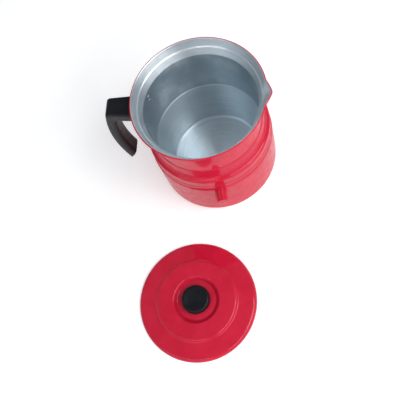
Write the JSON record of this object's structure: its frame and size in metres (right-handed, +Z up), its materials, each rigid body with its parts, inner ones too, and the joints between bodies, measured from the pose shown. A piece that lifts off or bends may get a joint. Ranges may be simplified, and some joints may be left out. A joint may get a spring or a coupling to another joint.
{
  "type": "double-walled milk pot",
  "caption": "Double-walled pot with a flared mouth, pouring lip, hooked side handle, capped filler on its jacket and a loose pressed lid with a knob.",
  "frame": {"origin": "centre of the pot's flat base, on the surface it stands on", "axes": "+Z up along the pot's axis, +X towards the pouring lip, handle towards -X, filler and loose lid on the -Y side"},
  "size_m": [0.1614, 0.2781, 0.1273],
  "materials": {
    "bare_aluminium": "satin, finely turned",
    "red_lacquer": "gloss",
    "black_moulding": "satin",
    "plated_steel": "satin",
    "brass": "machined",
    "rubber": "matt",
    "sealing_compound": "matt"
  },
  "bodies": {
    "pot": {"inner_vessel": "bare_aluminium", "outer_jacket": "red_lacquer", "shoulder_collar": "red_lacquer", "seam_seal": "sealing_compound", "filler_neck": "brass", "neck_gasket": "rubber", "neck_nut": "red_lacquer", "handle_bracket": "red_lacquer", "bracket_rivets": "bare_aluminium", "handle_grip": "black_moulding", "grip_screw": "plated_steel", "grip_washer": "plated_steel"},
    "cap_disc": {"cap_washer": "rubber"},
    "cap": {"filler_cap": "red_lacquer"},
    "lid": {"lid_shell": "red_lacquer", "lid_knob": "black_moulding", "knob_insert": "brass", "knob_screw": "plated_steel", "knob_washer": "plated_steel"}
  },
  "joints": [
    {"name": "lid_lift", "type": "slide", "parent": "pot", "child": "lid", "axis": [0, 0, 1], "range_m": [0, 0.18]},
    {"name": "cap_travel", "type": "slide", "parent": "pot", "child": "cap_disc", "axis": [0.1908, -0.9816, 0], "range_m": [0, 0.0075]},
    {"name": "cap_turn", "type": "hinge", "parent": "cap_disc", "child": "cap", "pos_m": [0.01278, -0.06577, 0.051], "axis": [0.1908, -0.9816, 0], "range_deg": [0, 2160]}
  ],
  "couplings": [
    {"joint": "cap_turn", "follows": "cap_travel", "rad_per_m": 5026.5}
  ]
}
